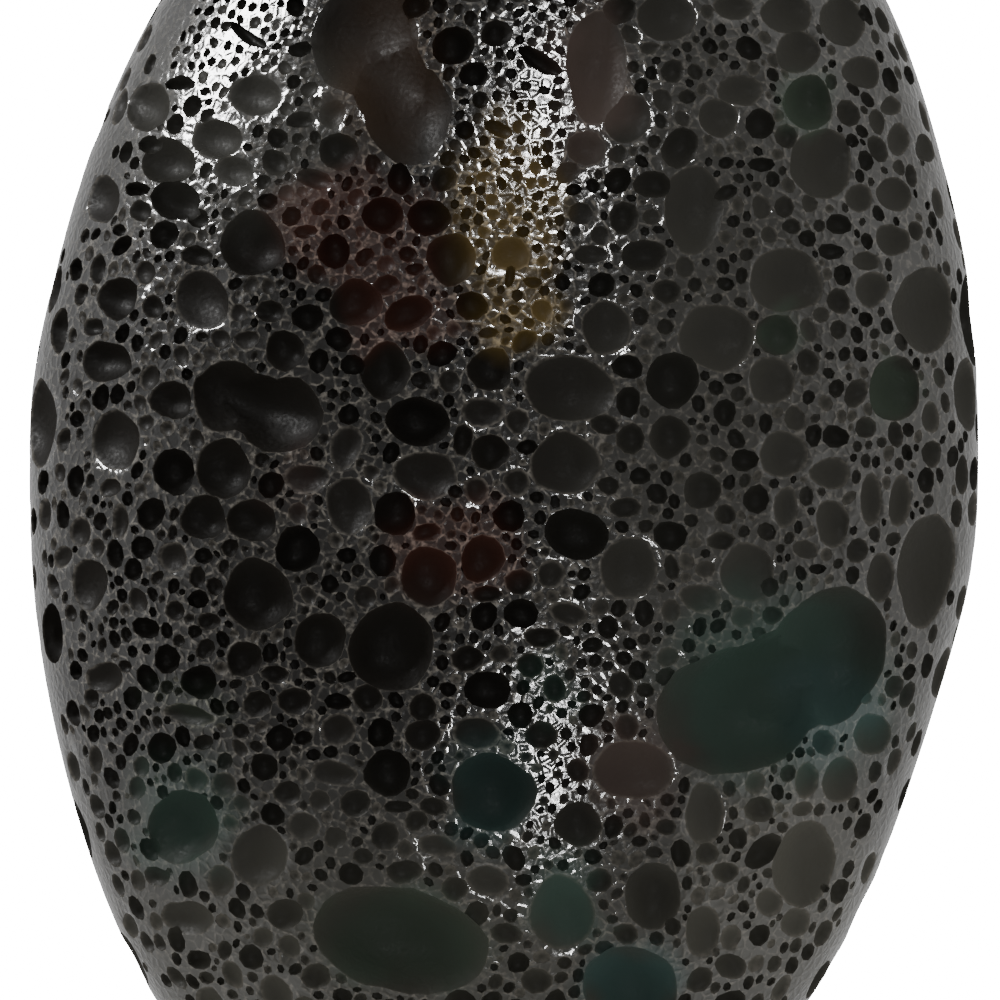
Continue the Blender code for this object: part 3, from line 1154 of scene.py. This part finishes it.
def tints_at(places: np.ndarray) -> np.ndarray:
    """The colour that multiplies the glass's own over the upper face, with a painted sheen round the upper
    gleam among it, and as its alpha how dull the glass is.

    It is dull and of one tone to the right of the middle, at the upper left and towards the lower end.

    Args:
        places: points on the stone, in metres.

    Returns:
        a linear colour with alpha for each.
    """
    wander_scale = 350.0
    wander_mm = 1.6
    face_mm = (16.0, 24.0)
    zone_edge = (0.5, 1.2)
    wander = np.array([noise.noise_vector(Vector(place) * wander_scale) for place in places])
    moved = places / MM + wander * wander_mm
    upper = smooth_step(places[:, 2] / MM, *face_mm)
    colours = np.ones((len(places), 4))
    upper_left = np.hypot((moved[:, 0] + 19) / 9, (moved[:, 1] - 20) / 8)
    colours[:, 3] = np.maximum.reduce([
        smooth_step(moved[:, 0], -1, 13),
        1 - smooth_step(upper_left, *zone_edge),
        smooth_step(-moved[:, 1], 16, 28),
    ])
    for tint in TINTS:
        shares = (moved[:, :2] - (tint.x, tint.y)) / (tint.width / 2, tint.length / 2)
        strength = upper * (1 - smooth_step(np.linalg.norm(shares, axis=1), *zone_edge))
        colours[:, :3] += strength[:, None] * (np.array(tint.colour) - colours[:, :3])
    return colours


def smooth_step(values: np.ndarray, low: float, high: float) -> np.ndarray:
    """Values moved from a range to 0..1, with soft ends."""
    shares = np.clip((values - low) / (high - low), 0.0, 1.0)
    return shares * shares * (3 - 2 * shares)


def foam_group() -> bpy.types.NodeTree:
    """The finest bubbles.

    Returns:
        a group that puts out a height in mm that dips inside each bubble, and a mask that is 1 on the walls.
    """
    bubbles_per_mm = 1.35
    dip = 0.1
    nodes, entry, leave = new_group("Fine foam", {"Place": "Vector"}, {"Height": "Float", "Wall": "Float"})
    edge = nodes.cells(entry["Place"], bubbles_per_mm)
    nodes.put(leave["Height"], nodes.remap(edge, 0.02, 0.3, 0.0, -dip))
    nodes.put(leave["Wall"], nodes.remap(edge, 0.03, 0.14, 1.0, 0.0))
    return nodes.tree


@dataclass(frozen=True)
class Glass:
    """A finish of lava glass.

    Attributes:
        name: of the material.
        body: linear colour of the glass.
        dull: linear colour of the glass in its dull zones.
        wear_and_highlight: linear colour where it is rubbed pale, and of the painted highlight on the pits'
            rims and lips.
        roughness: lowest and highest.
        relief: how far the finest bubbles dip, as a share of their full depth.
        grain: height of the finest unevenness, in mm.
        gleam: how strongly the glass mirrors, 0.5 being plain glass.
        tint_of_wear_and_highlight: how much of the glass's tint its pale parts show.
        wear_and_highlight_where_dull: how much of the pale parts shows in the dull zones.
        patches: how often the pale parts come and go along a mm.
        unevenness: the same of the roughness and the grain.
    """

    name: str
    body: tuple[float, float, float]
    dull: tuple[float, float, float]
    wear_and_highlight: tuple[float, float, float]
    roughness: tuple[float, float]
    relief: float
    grain: float
    gleam: float
    tint_of_wear_and_highlight: float = 0.25
    wear_and_highlight_where_dull: float = 0.6
    patches: float = 2.6
    unevenness: float = 4.0

    def make(self, foam: bpy.types.NodeTree) -> bpy.types.Material:
        """The material.

        Args:
            foam: the group of the finest bubbles.

        Returns:
            the material.
        """
        material = bpy.data.materials.new(self.name)
        material.use_nodes = True
        nodes = Nodes(material.node_tree)
        shader = material.node_tree.nodes["Principled BSDF"]
        place = object_mm(nodes)
        fine = nodes.add("ShaderNodeGroup", node_tree=foam)
        nodes.put(fine.inputs["Place"], place)
        pale = self.pale(nodes, nodes.noise(place, self.patches, 4.0), fine.outputs["Wall"])
        zone = nodes.add("ShaderNodeAttribute", attribute_name="tint")
        tint = zone.outputs["Color"]
        dull = zone.outputs["Alpha"]
        body = nodes.tinted(nodes.mix(dull, (*self.body, 1.0), (*self.dull, 1.0)), tint, 1.0)
        # Pale of wear, and painted highlight on the pits' rims and lips
        wear_and_highlight = nodes.tinted((*self.wear_and_highlight, 1.0), tint, self.tint_of_wear_and_highlight)
        pale = nodes.math("MULTIPLY", pale, nodes.remap(dull, 0.0, 1.0, 1.0, self.wear_and_highlight_where_dull))
        nodes.put(shader.inputs["Base Color"], nodes.mix(pale, body, wear_and_highlight))
        uneven = nodes.noise(place, self.unevenness, 2.0)
        nodes.put(shader.inputs["Roughness"], nodes.remap(uneven, 0.3, 0.7, *self.roughness))
        bump = nodes.add("ShaderNodeBump")
        bump.inputs["Distance"].default_value = MM
        grain = nodes.math("MULTIPLY", uneven, self.grain)
        relief = nodes.math("MULTIPLY", fine.outputs["Height"], self.relief)
        nodes.put(bump.inputs["Height"], nodes.math("ADD", grain, relief))
        nodes.put(shader.inputs["Normal"], bump.outputs["Normal"])
        shader.inputs["Specular IOR Level"].default_value = self.gleam
        return material

    def pale(self, nodes: Nodes, patches: bpy.types.NodeSocket, wall: bpy.types.NodeSocket) -> object:
        """How far the glass is pale, from wear and from a painted highlight.

        Args:
            nodes: of the material.
            patches: soft noise.
            wall: 1 on the walls of the finest bubbles.

        Returns:
            a number from 0 to 1.
        """
        raise NotImplementedError


class GroundSkin(Glass):
    """The ground surface between the pits, a web of walls worn pale, with a painted highlight along the pits'
    rims.
    """

    def pale(self, nodes: Nodes, patches: bpy.types.NodeSocket, wall: bpy.types.NodeSocket) -> object:
        """Paler between the finest bubbles, and most near the pits' rims, where the paleness is a painted
        highlight as well as wear; in patches.
        """
        # A painted highlight on the rims, as if their rounded edges caught the light, on top of the wear
        near = nodes.math("MULTIPLY", nodes.remap(nodes.attribute("rim"), 0.0, 1.0, 0.4, 1.0), wall)
        return nodes.math("MULTIPLY", near, nodes.remap(patches, 0.4, 0.68, 0.12, 1.0))


class PitGlass(Glass):
    """The glassy inside of the pits, with a lip worn pale and given a painted highlight."""

    def pale(self, nodes: Nodes, patches: bpy.types.NodeSocket, wall: bpy.types.NodeSocket) -> object:
        """Paler on the lip, a painted highlight as well as wear, in patches."""
        # A painted highlight on the lip, as if the rounded rim caught the light, on top of the wear
        lip = nodes.remap(nodes.attribute("depth"), 0.0, 0.22, 1.0, 0.0)
        return nodes.math("MULTIPLY", lip, nodes.remap(patches, 0.3, 0.7, 0.15, 1.0))


@dataclass(frozen=True)
class Lamp:
    """A softbox, placed so that the stone's surface mirrors it where the photograph shows a gleam.

    It only makes gleams: the even light makes the rest.

    Attributes:
        name: of the light.
        gleam: where the photograph shows it on the upper face, in mm.
        distance: from the stone.
        width: across the stone's X.
        length: the other way.
        radiance: of its face, in the measure of the sky's strength.
    """

    name: str
    gleam: tuple[float, float]
    distance: float
    width: float
    length: float
    radiance: float

    def place(self) -> None:
        """Adds the light."""
        flat = np.array([self.gleam[0] * MM / HALF[0], self.gleam[1] * MM / HALF[1]])
        points, normals = ground_surface(np.array([[*flat, math.sqrt(1 - flat @ flat)]]))
        normal = normals[0]
        mirrored = 2 * normal[2] * normal - np.array([0.0, 0.0, 1.0])
        light = bpy.data.lights.new(self.name, "AREA")
        light.shape = "RECTANGLE"
        light.size = self.width
        light.size_y = self.length
        light.energy = math.pi * self.width * self.length * self.radiance
        lamp = bpy.data.objects.new(self.name, light)
        lamp.location = Vector(points[0] + mirrored * self.distance)
        lamp.rotation_euler = Vector(-mirrored).to_track_quat("-Z", "Y").to_euler()
        lamp.visible_camera = False
        lamp.visible_diffuse = False
        bpy.context.scene.collection.objects.link(lamp)


LAMPS = (
    Lamp("upper strip", (0.3, 24.2), 0.6, 0.036, 0.11, 280.0),
    Lamp("lower strip", (3.9, -19.8), 0.6, 0.024, 0.11, 220.0),
    Lamp("side box", (-18.8, 27.8), 0.3, 0.1, 0.11, 180.0),
)


@dataclass(frozen=True)
class Studio:
    """The pale floor, the even light all round and the camera of the photograph.

    Attributes:
        floor_size: side of the floor.
        floor_colour: linear.
        floor_glow: light that the floor gives off, as the stone and as the camera see it.
        sky: strength of the even light, straight above and at the horizon.
        sky_turn: sines of the elevations between which it changes.
        camera_height: above the plane of the stone's outline.
        sensor: width of the camera's sensor, in mm.
    """

    floor_size: float = 3.0
    floor_colour: float = 0.9
    floor_glow: tuple[float, float] = (0.35, 24.0)
    sky: tuple[float, float] = (0.35, 1.2)
    sky_turn: tuple[float, float] = (0.15, 0.8)
    camera_height: float = 0.9
    sensor: float = 36.0

    def make_floor(self) -> None:
        """The floor that the stone rests on."""
        shape = bmesh.new()
        bmesh.ops.create_grid(shape, x_segments=1, y_segments=1, size=self.floor_size / 2)
        mesh = bpy.data.meshes.new("floor")
        shape.to_mesh(mesh)
        shape.free()
        material = bpy.data.materials.new("floor")
        material.use_nodes = True
        nodes = Nodes(material.node_tree)
        shader = material.node_tree.nodes["Principled BSDF"]
        shader.inputs["Base Color"].default_value = (*[self.floor_colour] * 3, 1.0)
        shader.inputs["Roughness"].default_value = 0.9
        shader.inputs["Emission Color"].default_value = (1.0, 1.0, 1.0, 1.0)
        seen = nodes.add("ShaderNodeLightPath").outputs["Is Camera Ray"]
        nodes.put(shader.inputs["Emission Strength"], nodes.remap(seen, 0.0, 1.0, *self.floor_glow))
        mesh.materials.append(material)
        floor = bpy.data.objects.new("floor", mesh)
        bpy.context.scene.collection.objects.link(floor)

    def make_sky(self) -> None:
        """Soft white light from all round, weaker from straight above."""
        world = bpy.data.worlds.new("studio")
        world.use_nodes = True
        nodes = Nodes(world.node_tree)
        background = world.node_tree.nodes["Background"]
        background.inputs["Color"].default_value = (1.0, 1.0, 1.0, 1.0)
        split = nodes.add("ShaderNodeSeparateXYZ")
        nodes.put(split.inputs[0], nodes.add("ShaderNodeTexCoord").outputs["Generated"])
        above, level = self.sky
        strength = nodes.remap(split.outputs["Z"], *self.sky_turn, level, above)
        nodes.put(background.inputs["Strength"], strength)
        bpy.context.scene.world = world

    def make_camera(self) -> None:
        """The camera, looking straight down with the photograph's framing."""
        off_x = (PHOTO_PIXELS / 2 - STONE_MIDDLE_PX[0]) / PIXELS_PER_MM * MM
        off_y = (STONE_MIDDLE_PX[1] - PHOTO_PIXELS / 2) / PIXELS_PER_MM * MM
        cosine, sine = math.cos(STONE_LEAN), math.sin(STONE_LEAN)
        camera = bpy.data.cameras.new("photograph")
        view_width = PHOTO_PIXELS / PIXELS_PER_MM * MM
        camera.sensor_width = self.sensor
        camera.lens = self.sensor * self.camera_height / view_width
        viewer = bpy.data.objects.new("photograph", camera)
        viewer.location = (
            off_x * cosine - off_y * sine,
            off_x * sine + off_y * cosine,
            CENTRE[2] + self.camera_height,
        )
        viewer.rotation_euler = (0.0, 0.0, STONE_LEAN)
        bpy.context.scene.collection.objects.link(viewer)
        bpy.context.scene.camera = viewer

    def build(self) -> None:
        """The whole studio."""
        self.make_floor()
        self.make_sky()
        self.make_camera()
        for lamp in LAMPS:
            lamp.place()


# Half width at which the filling ends, in mm
NARROWEST = 0.325


def write_sizes() -> None:
    """Updates the view layer.
    """
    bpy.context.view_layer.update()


def main() -> None:
    """Builds the stone, its materials and the studio."""
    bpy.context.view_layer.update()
    noise.seed_set(NOISE_SEED)
    fine = foam_group()
    skin = GroundSkin(
        "ground_skin",
        body=(0.012, 0.0108, 0.009),
        dull=(0.044, 0.0422, 0.0362),
        # Pale of wear, and painted highlight on the pits' rims
        wear_and_highlight=(0.2, 0.182, 0.154),
        roughness=(0.1, 0.2),
        relief=0.2,
        grain=0.01,
        gleam=0.5,
    )
    pit = PitGlass(
        "pit_glass",
        body=(0.0195, 0.0174, 0.0146),
        dull=(0.0495, 0.0478, 0.0407),
        # Pale of wear, and painted highlight on the pits' lips
        wear_and_highlight=(0.15, 0.137, 0.117),
        roughness=(0.45, 0.65),
        relief=0.1,
        grain=0.01,
        gleam=0.03,
    )
    materials = [skin.make(fine), pit.make(fine)]
    foam = Foam()
    foam.place_upper()
    foam.fill(NARROWEST)
    piece = Stone(foam).build(materials)
    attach(piece, "root")
    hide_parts(NODE)
    Studio().build()
    write_sizes()


if __name__ == "__main__":
    main()
